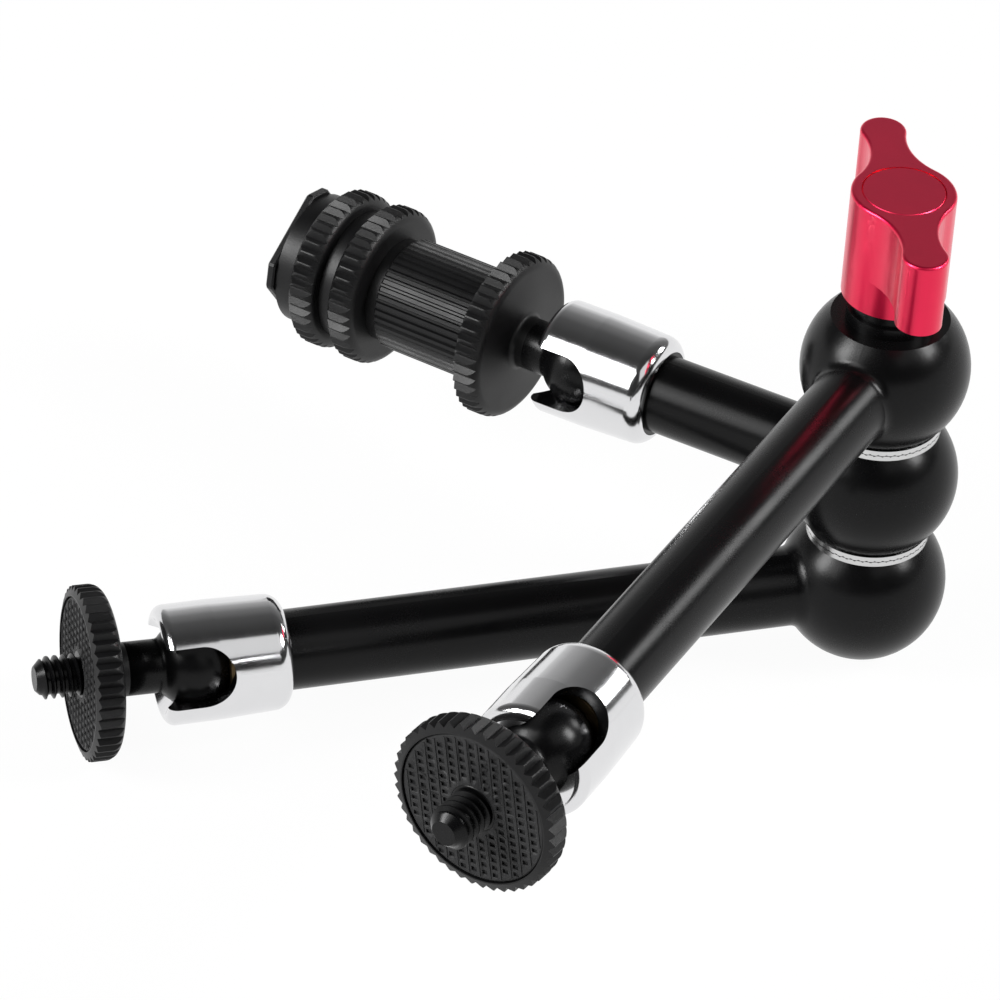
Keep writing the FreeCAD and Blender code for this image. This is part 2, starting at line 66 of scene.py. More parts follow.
MILLIMETRE = 0.001
FULL_TURN = 2 * math.pi
JOINTS = {joint["name"]: joint for joint in frame["joints"]}
ARM_NAMES = ("bottom", "middle", "top")
THREADED_ARMS = ("bottom", "top")
RING_NAMES = ("bottom_arm_ring", "middle_arm_lower_ring", "middle_arm_upper_ring", "top_arm_ring")
PIVOT_NAMES = ("pivot_bolt", "thrust_washer", "knob_insert")
ADAPTER_NAMES = ("coupler", "lock_nut", "clamp_nut", "shoe_foot")

X_AXIS = Vector((1.0, 0.0, 0.0))
Z_AXIS = Vector((0.0, 0.0, 1.0))
MERGE_DISTANCE = 0.001 * MILLIMETRE
SHARP_ANGLE = math.radians(32.0)

# One turn of the thread: shares of the pitch, and of the height from root to crest
THREAD_OUTLINE = ((0.0, 0.0), (0.3, 0.0), (0.44, 0.5), (0.58, 1.0), (0.72, 1.0), (0.86, 0.5))
THREAD_STEPS = 48
THREAD_SINK = 0.1 * MILLIMETRE

# Pits and ridges of a grip pad: widths and lengths in shares of the column and row steps
PIT_WIDTH_SHARE = 0.5
PIT_LENGTH_SHARE = 0.56
PIT_INNER_RADIUS = 4.2 * MILLIMETRE
PIT_OUTER_RADIUS = 10.7 * MILLIMETRE
RIDGE_WIDTH_SHARE = 0.14
RIDGE_HEIGHT = 0.1 * MILLIMETRE
RIDGE_OUTER_RADIUS = 10.9 * MILLIMETRE

# The Mix node's colour inputs and colour output, by number, because others have the same names
MIX_COLOUR_A = 6
MIX_COLOUR_B = 7
MIX_COLOUR_RESULT = 2

# Noise stays near its middle, so this stretch of it counts as the whole
NOISE_LOW = 0.3
NOISE_HIGH = 0.7

# Noise on this scale is drawn out into upright lines
DRAWN_SCALE = (1.0, 1.0, 0.02)

STAGE_SEGMENTS = 96
STAGE_ROUGHNESS = 0.9
SENSOR_WIDTH = 36.0
CLIP_START = 0.05
CLIP_END = 20.0
WHITE = (1.0, 1.0, 1.0, 1.0)


class StudioSettings(bpy.types.PropertyGroup):
    """Floor, backdrop and camera."""

    floor_colour: bpy.props.FloatVectorProperty(
        name="Floor colour",
        description="Colour of the floor and the backdrop",
        default=(0.86, 0.86, 0.86),
        size=3,
        min=0.0,
        max=1.0,
        subtype="COLOR",
    )
    floor_glow: bpy.props.FloatProperty(
        name="Floor glow",
        description="Share of plain white that the camera sees in the floor, the rest keeps the shadow",
        default=0.96,
        min=0.0,
        max=1.0,
        subtype="FACTOR",
    )
    stage_radius: bpy.props.FloatProperty(
        name="Stage radius",
        description="Distance from the object to the backdrop",
        default=3.0,
        min=0.5,
        unit="LENGTH",
    )
    backdrop_height: bpy.props.FloatProperty(
        name="Backdrop height",
        description="Height of the backdrop above the floor",
        default=0.55,
        min=0.1,
        unit="LENGTH",
    )
    camera_place: bpy.props.FloatVectorProperty(
        name="Camera place",
        description="Where the camera stands, in the frame of the object",
        default=(-0.13707511, -0.64838424, 0.53752117),
        size=3,
        subtype="TRANSLATION",
        unit="LENGTH",
    )
    camera_target: bpy.props.FloatVectorProperty(
        name="Camera target",
        description="The point in the middle of the picture",
        default=(0.07150622, 0.0285246, -0.000007),
        size=3,
        subtype="TRANSLATION",
        unit="LENGTH",
    )
    camera_roll: bpy.props.FloatProperty(
        name="Camera roll",
        description="Roll of the camera about its own axis",
        default=math.radians(3.5587),
        subtype="ANGLE",
    )
    camera_lens: bpy.props.FloatProperty(
        name="Focal length",
        description="Focal length on a 36 mm sensor",
        default=209.864,
        min=10.0,
        unit="CAMERA",
    )


class FinishColours(bpy.types.PropertyGroup):
    """Colours of the finishes."""

    satin_black: bpy.props.FloatVectorProperty(
        name="Satin black",
        description="Anodised arms and ball studs",
        default=(0.0022, 0.0022, 0.0024),
        size=3,
        min=0.0,
        max=1.0,
        subtype="COLOR",
    )
    matte_black: bpy.props.FloatVectorProperty(
        name="Matte black",
        description="Knurled wheels, nuts, coupler and shoe foot",
        default=(0.004, 0.004, 0.0043),
        size=3,
        min=0.0,
        max=1.0,
        subtype="COLOR",
    )
    pad_black: bpy.props.FloatVectorProperty(
        name="Pad black",
        description="Moulded grip pads on the wheels",
        default=(0.012, 0.012, 0.0125),
        size=3,
        min=0.0,
        max=1.0,
        subtype="COLOR",
    )
    chrome: bpy.props.FloatVectorProperty(
        name="Chrome",
        description="Polished cups",
        default=(0.73, 0.73, 0.74),
        size=3,
        min=0.0,
        max=1.0,
        subtype="COLOR",
    )
    steel: bpy.props.FloatVectorProperty(
        name="Steel",
        description="Serrated rings and the rods inside",
        default=(0.62, 0.62, 0.62),
        size=3,
        min=0.0,
        max=1.0,
        subtype="COLOR",
    )
    # Brass darkened below its own colour as painted shade, so the plungers look dim in the shade inside
    # the arms
    brass: bpy.props.FloatVectorProperty(
        name="Brass",
        description="Brass of the brake plungers inside the arms, darkened as painted shade",
        default=(0.16, 0.115, 0.06),
        size=3,
        min=0.0,
        max=1.0,
        subtype="COLOR",
    )
    knob_red: bpy.props.FloatVectorProperty(
        name="Knob red",
        description="Red anodised knob",
        default=(0.78, 0.012, 0.068),
        size=3,
        min=0.0,
        max=1.0,
        subtype="COLOR",
    )


class FinePieceSizes(bpy.types.PropertyGroup):
    """Sizes of the threads, the grip pads and the knob's disc."""

    thread_length: bpy.props.FloatProperty(
        name="Thread length",
        description="Length of the thread that stands out of a grip pad",
        default=6.7 * MILLIMETRE,
        min=2.0 * MILLIMETRE,
        unit="LENGTH",
    )
    thread_pitch: bpy.props.FloatProperty(
        name="Thread pitch",
        description="Distance from one turn of the thread to the next",
        default=1.27 * MILLIMETRE,
        min=0.3 * MILLIMETRE,
        unit="LENGTH",
    )
    thread_crest_radius: bpy.props.FloatProperty(
        name="Thread crest radius",
        description="Radius over the thread",
        default=3.165 * MILLIMETRE,
        min=1.0 * MILLIMETRE,
        unit="LENGTH",
    )
    thread_root_radius: bpy.props.FloatProperty(
        name="Thread root radius",
        description="Radius at the bottom of the thread",
        default=2.52 * MILLIMETRE,
        min=1.0 * MILLIMETRE,
        unit="LENGTH",
    )
    thread_tip_radius: bpy.props.FloatProperty(
        name="Thread tip radius",
        description="Radius of the flat at the end of a stud",
        default=1.85 * MILLIMETRE,
        min=0.5 * MILLIMETRE,
        unit="LENGTH",
    )
    pit_column_step: bpy.props.FloatProperty(
        name="Pit column step",
        description="Distance between two columns of pits in a grip pad",
        default=1.75 * MILLIMETRE,
        min=0.5 * MILLIMETRE,
        unit="LENGTH",
    )
    pit_row_step: bpy.props.FloatProperty(
        name="Pit row step",
        description="Distance between two pits of one column",
        default=1.25 * MILLIMETRE,
        min=0.5 * MILLIMETRE,
        unit="LENGTH",
    )
    pit_depth: bpy.props.FloatProperty(
        name="Pit depth",
        description="Depth of a pit below the face of its pad",
        default=0.3 * MILLIMETRE,
        min=0.05 * MILLIMETRE,
        unit="LENGTH",
    )
    pit_turn: bpy.props.FloatProperty(
        name="Pit turn",
        description="Turn of the pattern of pits about the stud",
        default=math.radians(10.0),
        subtype="ANGLE",
    )
    disc_bevel: bpy.props.FloatProperty(
        name="Disc bevel",
        description="Bevel round the disc in the top of the knob",
        default=0.2 * MILLIMETRE,
        min=0.0,
        unit="LENGTH",
    )


class Shade:
    """A socket of a node tree. Arithmetic on it adds Math nodes."""

    def __init__(self, tree, socket=None):
        self.tree = tree
        self.socket = socket

    def node(self, kind, values=None, output=0, stops=None, **settings):
        """Adds a node: settings first, then values or links for its sockets."""
        made = self.tree.nodes.new(kind)
        for name, setting in settings.items():
            setattr(made, name, setting)
        if stops:
            ramp = made.color_ramp
            while len(ramp.elements) < len(stops):
                ramp.elements.new(1.0)
            for element, (position, level) in zip(ramp.elements, stops):
                element.position = position
                element.color = (level, level, level, 1.0)
        for name, value in (values or {}).items():
            if isinstance(value, Shade):
                self.tree.links.new(value.socket, made.inputs[name])
            else:
                made.inputs[name].default_value = value
        return Shade(self.tree, made.outputs[output])

    def math(self, operation, first, second):
        """Adds a Math node of two values."""
        return self.node("ShaderNodeMath", {0: first, 1: second}, operation=operation)

    def __add__(self, other):
        return self.math("ADD", self, other)

    __radd__ = __add__

    def __sub__(self, other):
        return self.math("SUBTRACT", self, other)

    def __rsub__(self, other):
        return self.math("SUBTRACT", other, self)

    def __mul__(self, other):
        return self.math("MULTIPLY", self, other)

    __rmul__ = __mul__


def start_material(name, **constants):
    """A material with a Principled shader, its constant sockets set, and a Shade to build on."""
    material = bpy.data.materials.new(name)
    material.use_nodes = True
    tree = material.node_tree
    shader = tree.nodes["Principled BSDF"]
    for socket, value in constants.items():
        shader.inputs[socket.replace("_", " ")].default_value = value
    return material, shader, Shade(tree)


def feed(shader, socket, value):
    """Links a Shade to one socket of a shader."""
    value.tree.links.new(value.socket, shader.inputs[socket])


def object_place(shade):
    """The point on the piece, in metres."""
    return shade.node("ShaderNodeTexCoord", output="Object")


def noise(shade, place, size, detail=2.0, roughness=0.5):
    """Noise with features of about the given size in metres."""
    values = {"Vector": place, "Scale": 1.0 / size, "Detail": detail, "Roughness": roughness}
    return shade.node("ShaderNodeTexNoise", values, noise_dimensions="3D")


def spread(value, low, high):
    """Noise widened to run from low to high."""
    ends = {"From Min": NOISE_LOW, "From Max": NOISE_HIGH, "To Min": low, "To Max": high}
    return value.node("ShaderNodeMapRange", {"Value": value, **ends})


def bump(height, depth):
    """A normal from a height of 0 to 1 that stands for the given depth in metres."""
    return height.node("ShaderNodeBump", {"Height": height, "Distance": depth, "Strength": 1.0})


def scaled_colour(colour, factor=1.0):
    """A colour made darker or lighter, as the four numbers that a colour socket takes."""
    return (colour[0] * factor, colour[1] * factor, colour[2] * factor, 1.0)


def tinted(value, colour, darkest, lightest):
    """A colour that runs from darker to lighter by a value of 0 to 1."""
    return value.node(
        "ShaderNodeMix",
        {
            "Factor": value,
            MIX_COLOUR_A: scaled_colour(colour, darkest),
            MIX_COLOUR_B: scaled_colour(colour, lightest),
        },
        output=MIX_COLOUR_RESULT,
        data_type="RGBA",
    )


def satin_black(colours):
    """Anodised aluminium with a soft gloss."""
    material, shader, shade = start_material("satin_black", IOR=1.27)
    place = object_place(shade)
    grain = noise(shade, place, size=0.35 * MILLIMETRE, detail=3.0)
    cloud = noise(shade, place, size=12 * MILLIMETRE, detail=3.0)
    feed(shader, "Base Color", tinted(cloud, colours.satin_black, darkest=0.8, lightest=1.25))
    speckle = (grain - 0.5) * 0.05
    feed(shader, "Roughness", spread(cloud, low=0.24, high=0.3) + speckle)
    feed(shader, "Normal", bump(grain, depth=0.006 * MILLIMETRE))
    return material


def matte_black(colours):
    """Blasted and anodised aluminium, dull with a fine grain."""
    material, shader, shade = start_material("matte_black", IOR=1.33)
    place = object_place(shade)
    grain = noise(shade, place, size=0.22 * MILLIMETRE, detail=3.0, roughness=0.6)
    cloud = noise(shade, place, size=6 * MILLIMETRE, detail=2.0)
    feed(shader, "Base Color", tinted(cloud, colours.matte_black, darkest=0.8, lightest=1.3))
    feed(shader, "Roughness", spread(cloud, low=0.36, high=0.44))
    feed(shader, "Normal", bump(grain, depth=0.02 * MILLIMETRE))
    return material


def pad_black(colours):
    """Moulded rubber, dull."""
    material, shader, shade = start_material("pad_black", IOR=1.4)
    place = object_place(shade)
    grain = noise(shade, place, size=0.25 * MILLIMETRE, detail=3.0, roughness=0.65)
    cloud = noise(shade, place, size=4 * MILLIMETRE, detail=2.0)
    feed(shader, "Base Color", tinted(cloud, colours.pad_black, darkest=0.75, lightest=1.3))
    feed(shader, "Roughness", spread(cloud, low=0.55, high=0.7))
    feed(shader, "Normal", bump(grain, depth=0.04 * MILLIMETRE))
    return material


def polished_chrome(colours):
    """Bright chrome plate with faint polishing haze."""
    material, shader, shade = start_material("polished_chrome", Metallic=1.0)
    place = object_place(shade)
    haze = noise(shade, place, size=4 * MILLIMETRE, detail=4.0, roughness=0.6)
    feed(shader, "Base Color", tinted(haze, colours.chrome, darkest=0.97, lightest=1.03))
    feed(shader, "Roughness", spread(haze, low=0.11, high=0.15))
    feed(shader, "Normal", bump(haze, depth=0.008 * MILLIMETRE))
    return material


def turned_metal(name, colour, roughness):
    """Turned metal with a fine grain, cloudy about its roughness."""
    material, shader, shade = start_material(name, Metallic=1.0)
    place = object_place(shade)
    grain = noise(shade, place, size=0.3 * MILLIMETRE, detail=3.0)
    cloud = noise(shade, place, size=3 * MILLIMETRE, detail=2.0)
    feed(shader, "Base Color", tinted(cloud, colour, darkest=0.9, lightest=1.1))
    feed(shader, "Roughness", spread(cloud, low=roughness - 0.04, high=roughness + 0.06))
    feed(shader, "Normal", bump(grain, depth=0.01 * MILLIMETRE))
    return material


def turned_steel(colours):
    """Ground steel of the push rods and wedges."""
    return turned_metal("turned_steel", scaled_colour(colours.steel, 0.75), roughness=0.3)


def bright_steel(colours):
    """Bright steel of the serrated rings."""
    return turned_metal("bright_steel", colours.steel, roughness=0.22)


def turned_brass(colours):
    """Turned brass of the brake plungers, its colour darkened as painted shade."""
    return turned_metal("turned_brass", colours.brass, roughness=0.4)


def red_anodised(colours):
    """Red anodised aluminium with upright draw lines on its sides."""
    finish = {"Metallic": 0.95, "Coat_Weight": 0.4, "Coat_Roughness": 0.2}
    material, shader, shade = start_material("red_anodised", **finish)
    place = object_place(shade)
    drawn = shade.node("ShaderNodeMapping", {"Vector": place, "Scale": DRAWN_SCALE})
    lines = noise(shade, drawn, size=0.5 * MILLIMETRE, detail=3.0)
    grain = noise(shade, place, size=0.25 * MILLIMETRE, detail=3.0)
    cloud = noise(shade, place, size=6 * MILLIMETRE, detail=2.0)
    feed(shader, "Base Color", tinted(cloud, colours.knob_red, darkest=0.93, lightest=1.07))
    feed(shader, "Roughness", spread(lines, low=0.3, high=0.42))
    feed(shader, "Normal", bump(lines * 0.7 + grain * 0.3, depth=0.01 * MILLIMETRE))
    return material


def paint_node(node_name, material):
    """Gives a CAD piece its finish."""
    slots = frame["nodes"][node_name].data.materials
    slots.clear()
    slots.append(material)


def finish_material(maker):
    """The material that a function makes and that has its name, made once."""
    found = bpy.data.materials.get(maker.__name__)
    return found or maker(bpy.context.scene.friction_finishes)


def new_object(name, mesh, material=None):
    """An object at the origin from a bmesh, which is freed."""
    data = bpy.data.meshes.new(name)
    mesh.to_mesh(data)
    mesh.free()
    if material:
        data.materials.append(material)
    made = bpy.data.objects.new(name, data)
    bpy.context.scene.collection.objects.link(made)
    return made


def smoothed(made):
    """Smooth shading with sharp edges kept."""
    made.data.shade_smooth()
    made.data.set_sharp_from_angle(angle=SHARP_ANGLE)
    return made


def cad_copy(node_name):
    """A merged copy of a CAD piece's mesh, to be worked on."""
    mesh = bmesh.new()
    mesh.from_mesh(frame["nodes"][node_name].data)
    bmesh.ops.remove_doubles(mesh, verts=mesh.verts, dist=MERGE_DISTANCE)
    return mesh


def cut_away(mesh, place, direction):
    """Cuts off what lies beyond a plane."""
    bmesh.ops.bisect_plane(
        mesh,
        geom=mesh.verts[:] + mesh.edges[:] + mesh.faces[:],
        dist=MERGE_DISTANCE,
        plane_co=place,
        plane_no=direction,
        clear_outer=True,
    )


def stud_matrix(arm):
    """Turns X onto a stud's axis and moves the origin to the middle of its ball."""
    centre = Vector(JOINTS[f"{arm}_stud_tilt"]["pos_m"])
    along = Vector(JOINTS[f"{arm}_wheel_turn"]["axis"])
    side = Z_AXIS.cross(along).normalized()
    turn = Matrix((along, side, along.cross(side))).transposed()
    return Matrix.Translation(centre) @ turn.to_4x4()


def reach_along(node_name, matrix):
    """How far a CAD piece reaches along X of a matrix."""
    back = matrix.inverted()
    return max((back @ vertex.co).x for vertex in frame["nodes"][node_name].data.vertices)


def ball_stud(arm, sizes):
    """A ball stud with its thread cut: the CAD stud up to the pad, and a screw beyond it."""
    matrix = stud_matrix(arm)
    node_name = f"{arm}_ball_stud"
    tip = reach_along(node_name, matrix)
    thread_start = tip - sizes.thread_length
    mesh = cad_copy(node_name)
    cut_away(mesh, matrix @ (X_AXIS * thread_start), matrix.to_3x3() @ X_AXIS)
    bmesh.ops.holes_fill(mesh, edges=mesh.edges)
    screw = screw_mesh(sizes, thread_start - THREAD_SINK, tip)
    bmesh.ops.transform(screw, matrix=matrix, verts=screw.verts)
    add_mesh(mesh, screw)
    piece = smoothed(new_object(f"{arm}_threaded_stud", mesh, finish_material(satin_black)))
    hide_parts(node_name)
    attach(piece, f"{arm}_stud")


def add_mesh(mesh, extra):
    """Adds one bmesh to another and frees it."""
    data = bpy.data.meshes.new("extra")
    extra.to_mesh(data)
    extra.free()
    mesh.from_mesh(data)
    bpy.data.meshes.remove(data)


def screw_mesh(sizes, start, end):
    """A screw thread along X, closed at both ends, its tip turned to a cone."""
    mesh = bmesh.new()
    pitch = sizes.thread_pitch
    rise = sizes.thread_crest_radius - sizes.thread_root_radius
    chain = []
    for turn in range(-1, math.ceil((end - start) / pitch) + 1):
        for share, level in THREAD_OUTLINE:
            place = start + (turn + share) * pitch
            chain.append(mesh.verts.new((place, 0.0, sizes.thread_root_radius + level * rise)))
    links = [mesh.edges.new(pair) for pair in zip(chain, chain[1:])]
    bmesh.ops.spin(
        mesh,
        geom=chain + links,
        cent=(0.0, 0.0, 0.0),
        axis=X_AXIS,
        dvec=X_AXIS * (pitch / THREAD_STEPS),
        angle=FULL_TURN,
        steps=THREAD_STEPS,
    )
    bmesh.ops.remove_doubles(mesh, verts=mesh.verts, dist=MERGE_DISTANCE)
    cut_away(mesh, X_AXIS * start, -X_AXIS)
    cut_away(mesh, X_AXIS * end, X_AXIS)
    # The tip's cone slopes by 45 degrees, so its radius grows as fast as the distance from the end
    for vertex in mesh.verts:
        radius = math.hypot(vertex.co.y, vertex.co.z)
        limit = sizes.thread_tip_radius + end - vertex.co.x
        if radius > limit:
            vertex.co.yz = vertex.co.yz * (limit / radius)
    bmesh.ops.holes_fill(mesh, edges=mesh.edges)
    bmesh.ops.recalc_face_normals(mesh, faces=mesh.faces)
    return mesh


def carved(mesh, cutters):
    """A bmesh less a set of closed cutting shapes; both are freed."""
    solid = new_object("solid", mesh)
    tool = new_object("tool", cutters)
    cut = solid.modifiers.new("cut", "BOOLEAN")
    cut.operation = "DIFFERENCE"
    cut.solver = "EXACT"
    cut.object = tool
    graph = bpy.context.evaluated_depsgraph_get()
    made = bmesh.new()
    made.from_mesh(solid.evaluated_get(graph).to_mesh())
    for used in (solid, tool):
        data = used.data
        bpy.data.objects.remove(used)
        bpy.data.meshes.remove(data)
    return made


def box_at(mesh, centre, size):
    """Adds a closed box to a bmesh."""
    matrix = Matrix.Translation(centre) @ Matrix.Diagonal((*size, 1.0))
    bmesh.ops.create_cube(mesh, size=1.0, matrix=matrix)


def grip_pad(arm, sizes):
    """A grip pad: the CAD pad with columns of square pits and low ridges between them."""
    node_name = f"{arm}_wheel_pad"
    matrix = stud_matrix(arm)
    face = reach_along(node_name, matrix)
    pits = bmesh.new()
    ridges = bmesh.new()
    columns = math.ceil(PIT_OUTER_RADIUS / sizes.pit_column_step)
    rows = math.ceil(PIT_OUTER_RADIUS / sizes.pit_row_step)
    pit_size = (
        2 * sizes.pit_depth,
        PIT_WIDTH_SHARE * sizes.pit_column_step,
        PIT_LENGTH_SHARE * sizes.pit_row_step,
    )
    for column in range(-columns, columns + 1):
        across = (column + 0.5) * sizes.pit_column_step
        for row in range(-rows, rows + 1):
            up = row * sizes.pit_row_step
            if PIT_INNER_RADIUS < math.hypot(across, up) < PIT_OUTER_RADIUS:
                box_at(pits, (face, across, up), pit_size)
        across = column * sizes.pit_column_step
        half_squared = RIDGE_OUTER_RADIUS**2 - across**2
        if half_squared > 0.0:
            add_ridge(ridges, face, across, math.sqrt(half_squared), sizes)
    turn = matrix @ Matrix.Rotation(sizes.pit_turn, 4, "X")
    for part in (pits, ridges):
        bmesh.ops.transform(part, matrix=turn, verts=part.verts)
    mesh = carved(cad_copy(node_name), pits)
    add_mesh(mesh, ridges)
    piece = smoothed(new_object(f"{arm}_grip_pad", mesh, finish_material(pad_black)))
    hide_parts(node_name)
    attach(piece, f"{arm}_wheel")


def add_ridge(mesh, face, across, half_length, sizes):
    """A low ridge along one column, in two lengths where the stud comes between."""
    gap = PIT_INNER_RADIUS**2 - across**2
    start = math.sqrt(gap) if gap > 0.0 else 0.0
    size = (2 * RIDGE_HEIGHT, RIDGE_WIDTH_SHARE * sizes.pit_column_step, half_length - start)
    for side in (-1, 1):
        box_at(mesh, (face, across, side * (half_length + start) / 2), size)


def knob_disc(sizes):
    """The disc in the top of the knob, its edge bevelled so that it shows as a thin ring."""
    node_name = "knob_cap"
    mesh = cad_copy(node_name)
    top = max(vertex.co.z for vertex in mesh.verts)
    rim = [edge for edge in mesh.edges if edge.calc_face_angle(0.0) > SHARP_ANGLE]
    rim = [edge for edge in rim if min(vertex.co.z for vertex in edge.verts) > top - MERGE_DISTANCE]
    bmesh.ops.bevel(
        mesh,
        geom=rim,
        offset=sizes.disc_bevel,
        offset_type="OFFSET",
        segments=1,
        profile=0.5,
        affect="EDGES",
        material=-1,
    )
    piece = new_object("knob_disc", mesh, finish_material(red_anodised))
    piece.data.shade_flat()
    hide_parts(node_name)
    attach(piece, "knob")


class FRICTIONARM_OT_stage(bpy.types.Operator):
    """Makes the floor, the backdrop, the world, the lamps and the camera"""

    bl_idname = "friction_arm.stage"
    bl_label = "Stage"

    # The brightness of the world from the front, at 0, to the back of the studio, at 1
    to_back = (0.28, 0.96, 0.0)
    sky_levels = ((0.0, 0.03), (0.5, 0.04), (0.75, 0.09), (0.88, 0.2), (0.96, 0.45), (1.0, 1.0))

    # Each soft box: azimuth from the front, elevation, distance, width, height, brightness
    soft_boxes = {
        "front_panel": (24.0, 52.0, 1.0, 0.6, 0.6, 0.8),
        "left_panel": (-74.0, 42.0, 1.15, 0.5, 0.8, 4.0),
        "right_box": (62.0, 38.0, 1.0, 0.28, 0.36, 24.0),
        "left_box": (-92.0, 30.0, 1.0, 0.3, 0.42, 23.0),
        "far_right_box": (99.0, 27.0, 1.0, 0.2, 0.26, 12.0),
    }

    def execute(self, context):
        settings = context.scene.friction_studio
        self.make_floor(settings)
        self.make_backdrop(settings)
        self.make_world(context.scene)
        self.make_lamps(context.scene)
        self.make_camera(context.scene, settings)
        context.scene.view_settings.view_transform = "Standard"
        return {"FINISHED"}

    def white_where_seen(self, name, colour, glow):
        """A pale material that turns plain white for the camera and in reflections."""
        pale = {"Base_Color": scaled_colour(colour), "Roughness": STAGE_ROUGHNESS}
        material, shader, shade = start_material(name, **pale)
        camera, glossy, transmission = (
            shade.node("ShaderNodeLightPath", output=f"Is {kind} Ray")
            for kind in ("Camera", "Glossy", "Transmission")
        )
        seen = shade.math("MAXIMUM", shade.math("MAXIMUM", camera, glossy), transmission)
        white = shade.node("ShaderNodeEmission", {"Color": WHITE, "Strength": 1.0})
        plain = Shade(shade.tree, shader.outputs[0])
        mixed = shade.node("ShaderNodeMixShader", {0: seen * glow, 1: plain, 2: white})
        output = shade.tree.nodes["Material Output"]
        shade.tree.links.new(mixed.socket, output.inputs["Surface"])
        return material

    def make_floor(self, settings):
        """A round floor at the height of the object's lowest point."""
        mesh = bmesh.new()
        radius = settings.stage_radius
        bmesh.ops.create_circle(mesh, cap_ends=True, segments=STAGE_SEGMENTS, radius=radius)
        bmesh.ops.translate(mesh, verts=mesh.verts, vec=Z_AXIS * cad_box[0].z)
        material = self.white_where_seen("pale_floor", settings.floor_colour, settings.floor_glow)
        new_object("floor", mesh, material)

    def make_backdrop(self, settings):
        """A round wall on the edge of the floor."""
        mesh = bmesh.new()
        bottom = cad_box[0].z
        foot = mesh.verts.new((settings.stage_radius, 0.0, bottom))
        head = mesh.verts.new((settings.stage_radius, 0.0, bottom + settings.backdrop_height))
        wall = mesh.edges.new((foot, head))
        bmesh.ops.spin(
            mesh,
            geom=[foot, head, wall],
            cent=(0.0, 0.0, 0.0),
            axis=Z_AXIS,
            angle=FULL_TURN,
            steps=STAGE_SEGMENTS,
            use_merge=True,
        )
        material = self.white_where_seen("white_backdrop", settings.floor_colour, 1.0)
        new_object("backdrop", mesh, material)

    def make_world(self, scene):
        """A dim ceiling that brightens towards the back of the studio."""
        world = bpy.data.worlds.new("studio")
        world.use_nodes = True
        scene.world = world
        shade = Shade(world.node_tree)
        direction = shade.node("ShaderNodeTexCoord", output="Generated")
        facing = shade.node(
            "ShaderNodeVectorMath",
            {0: direction, 1: self.to_back},
            output="Value",
            operation="DOT_PRODUCT",
        )
        level = shade.node("ShaderNodeValToRGB", {"Fac": facing * 0.5 + 0.5}, stops=self.sky_levels)
        background = world.node_tree.nodes["Background"]
        world.node_tree.links.new(level.socket, background.inputs["Color"])
        background.inputs["Strength"].default_value = 1.0

    def make_lamps(self, scene):
        """Soft boxes that aim at the middle of the object; a brightness of 1 looks white."""
        middle = (cad_box[0] + cad_box[1]) / 2
        for name, (azimuth, elevation, distance, width, height, glow) in self.soft_boxes.items():
            turn = math.radians(azimuth)
            rise = math.radians(elevation)
            level = Vector((math.sin(turn), -math.cos(turn), 0.0))
            away = level * math.cos(rise) + Z_AXIS * math.sin(rise)
            lamp = bpy.data.lights.new(name, "AREA")
            lamp.shape = "RECTANGLE"
            lamp.size = width
            lamp.size_y = height
            lamp.energy = glow * math.pi * width * height
            holder = bpy.data.objects.new(name, lamp)
            scene.collection.objects.link(holder)
            holder.location = middle + away * distance
            holder.rotation_mode = "QUATERNION"
            holder.rotation_quaternion = (-away).to_track_quat("-Z", "Y")

    def make_camera(self, scene, settings):
        """The camera, aimed at its target and rolled about its own axis."""
        camera = bpy.data.cameras.new("camera")
        camera.sensor_width = SENSOR_WIDTH
        camera.lens = settings.camera_lens
        camera.clip_start = CLIP_START
        camera.clip_end = CLIP_END
        holder = bpy.data.objects.new("camera", camera)
        scene.collection.objects.link(holder)
        place = Vector(settings.camera_place)
        forward = (Vector(settings.camera_target) - place).normalized()
        aim = forward.to_track_quat("-Z", "Y").to_matrix()
        roll = Matrix.Rotation(settings.camera_roll, 3, "Z")
        holder.matrix_world = Matrix.Translation(place) @ (aim @ roll).to_4x4()
        scene.camera = holder


class FRICTIONARM_OT_arms(bpy.types.Operator):
    """Finishes the three castings, the rings between them and the brake parts inside"""

    bl_idname = "friction_arm.arms"
    bl_label = "Arms"

    def execute(self, context):
        satin = finish_material(satin_black)
        steel = finish_material(turned_steel)
        bright = finish_material(bright_steel)
        brass = finish_material(turned_brass)
        for name in ARM_NAMES:
            paint_node(f"{name}_arm", satin)
            paint_node(f"{name}_push_rod", steel)
            paint_node(f"{name}_wedge", steel)
            paint_node(f"{name}_brake_plunger", brass)
        for name in RING_NAMES:
            paint_node(name, bright)
        return {"FINISHED"}


class FRICTIONARM_OT_cups(bpy.types.Operator):
    """Finishes the three slotted cups"""

    bl_idname = "friction_arm.cups"
    bl_label = "Cups"

    def execute(self, context):
        chrome = finish_material(polished_chrome)
        for name in ARM_NAMES:
            paint_node(f"{name}_cup", chrome)
        return {"FINISHED"}


class FRICTIONARM_OT_studs(bpy.types.Operator):
    """Cuts the threads of the two open studs and finishes all three"""

    bl_idname = "friction_arm.studs"
    bl_label = "Ball Studs"

    def execute(self, context):
        for name in THREADED_ARMS:
            ball_stud(name, context.scene.friction_fine_pieces)
        paint_node("middle_ball_stud", finish_material(satin_black))
        return {"FINISHED"}


class FRICTIONARM_OT_wheels(bpy.types.Operator):
    """Finishes the knurled wheels"""

    bl_idname = "friction_arm.wheels"
    bl_label = "Wheels"

    def execute(self, context):
        for name in ARM_NAMES:
            paint_node(f"{name}_wheel", finish_material(matte_black))
        return {"FINISHED"}


class FRICTIONARM_OT_pads(bpy.types.Operator):
    """Moulds the pattern of the grip pads"""

    bl_idname = "friction_arm.pads"
    bl_label = "Grip Pads"

    def execute(self, context):
        for name in ARM_NAMES:
            grip_pad(name, context.scene.friction_fine_pieces)
        return {"FINISHED"}


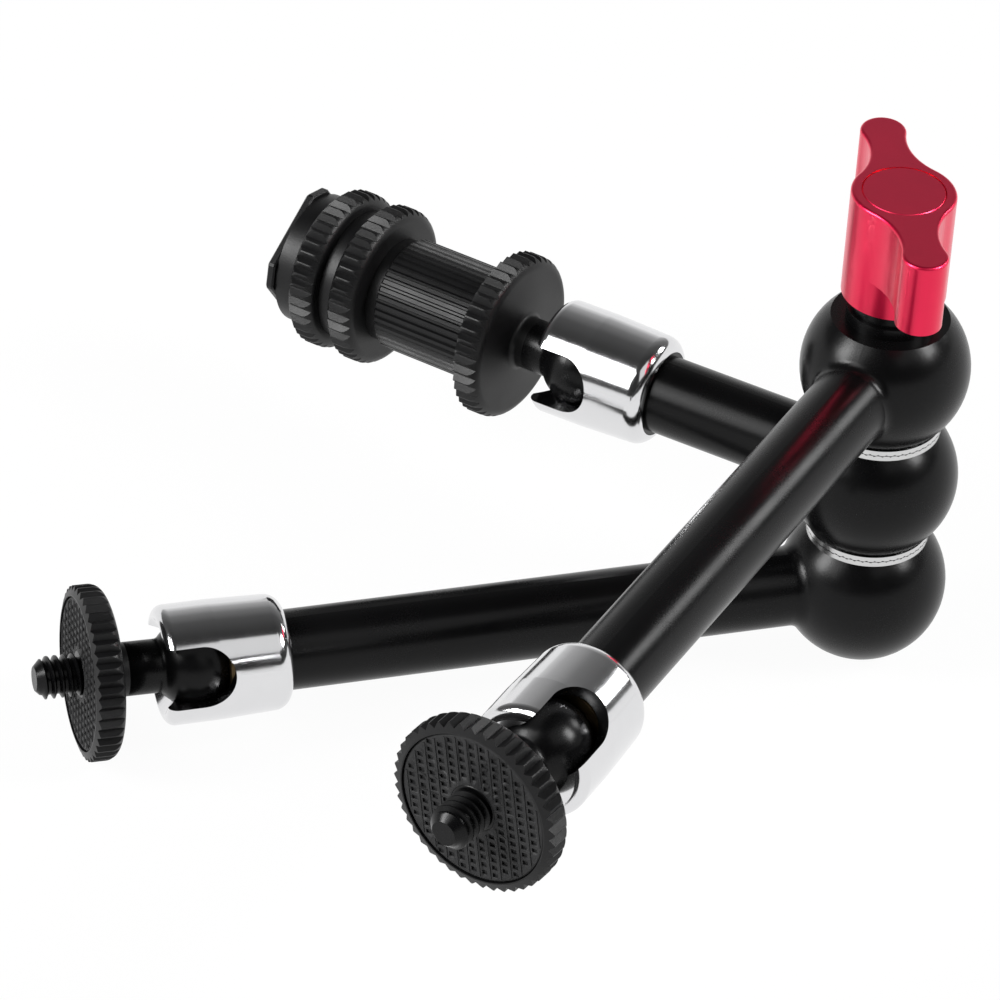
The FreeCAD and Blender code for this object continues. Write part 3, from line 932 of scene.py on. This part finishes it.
class FRICTIONARM_OT_knob(bpy.types.Operator):
    """Finishes the knob with its disc, and the bolt, washer and insert below it"""

    bl_idname = "friction_arm.knob"
    bl_label = "Knob"

    def execute(self, context):
        paint_node("knob", finish_material(red_anodised))
        knob_disc(context.scene.friction_fine_pieces)
        for name in PIVOT_NAMES:
            paint_node(name, finish_material(satin_black))
        return {"FINISHED"}


class FRICTIONARM_OT_adapter(bpy.types.Operator):
    """Finishes the coupler, the two nuts and the shoe foot"""

    bl_idname = "friction_arm.adapter"
    bl_label = "Shoe Adapter"

    def execute(self, context):
        for name in ADAPTER_NAMES:
            paint_node(name, finish_material(matte_black))
        return {"FINISHED"}


class FRICTIONARM_PT_panel(bpy.types.Panel):
    """Lists the steps that dress the friction arm"""

    bl_label = "Friction Arm"
    bl_idname = "FRICTIONARM_PT_panel"
    bl_space_type = "VIEW_3D"
    bl_region_type = "UI"
    bl_category = "Friction Arm"

    def draw(self, context):
        """One button for each operator."""
        for operator in OPERATORS:
            self.layout.operator(operator.bl_idname)


OPERATORS = (
    FRICTIONARM_OT_stage,
    FRICTIONARM_OT_arms,
    FRICTIONARM_OT_cups,
    FRICTIONARM_OT_studs,
    FRICTIONARM_OT_wheels,
    FRICTIONARM_OT_pads,
    FRICTIONARM_OT_knob,
    FRICTIONARM_OT_adapter,
)
CLASSES = (StudioSettings, FinishColours, FinePieceSizes, *OPERATORS, FRICTIONARM_PT_panel)


def register():
    """Registers the classes and hangs the settings on the scene."""
    for made in CLASSES:
        bpy.utils.register_class(made)
    bpy.types.Scene.friction_studio = bpy.props.PointerProperty(type=StudioSettings)
    bpy.types.Scene.friction_finishes = bpy.props.PointerProperty(type=FinishColours)
    bpy.types.Scene.friction_fine_pieces = bpy.props.PointerProperty(type=FinePieceSizes)


def unregister():
    """Takes back what register did."""
    del bpy.types.Scene.friction_fine_pieces
    del bpy.types.Scene.friction_finishes
    del bpy.types.Scene.friction_studio
    for made in reversed(CLASSES):
        bpy.utils.unregister_class(made)


def main():
    """Dresses the arm, one operator after the other."""
    register()
    bpy.ops.friction_arm.stage()
    bpy.ops.friction_arm.arms()
    bpy.ops.friction_arm.cups()
    bpy.ops.friction_arm.studs()
    bpy.ops.friction_arm.wheels()
    bpy.ops.friction_arm.pads()
    bpy.ops.friction_arm.knob()
    bpy.ops.friction_arm.adapter()


if __name__ == "__main__":
    main()
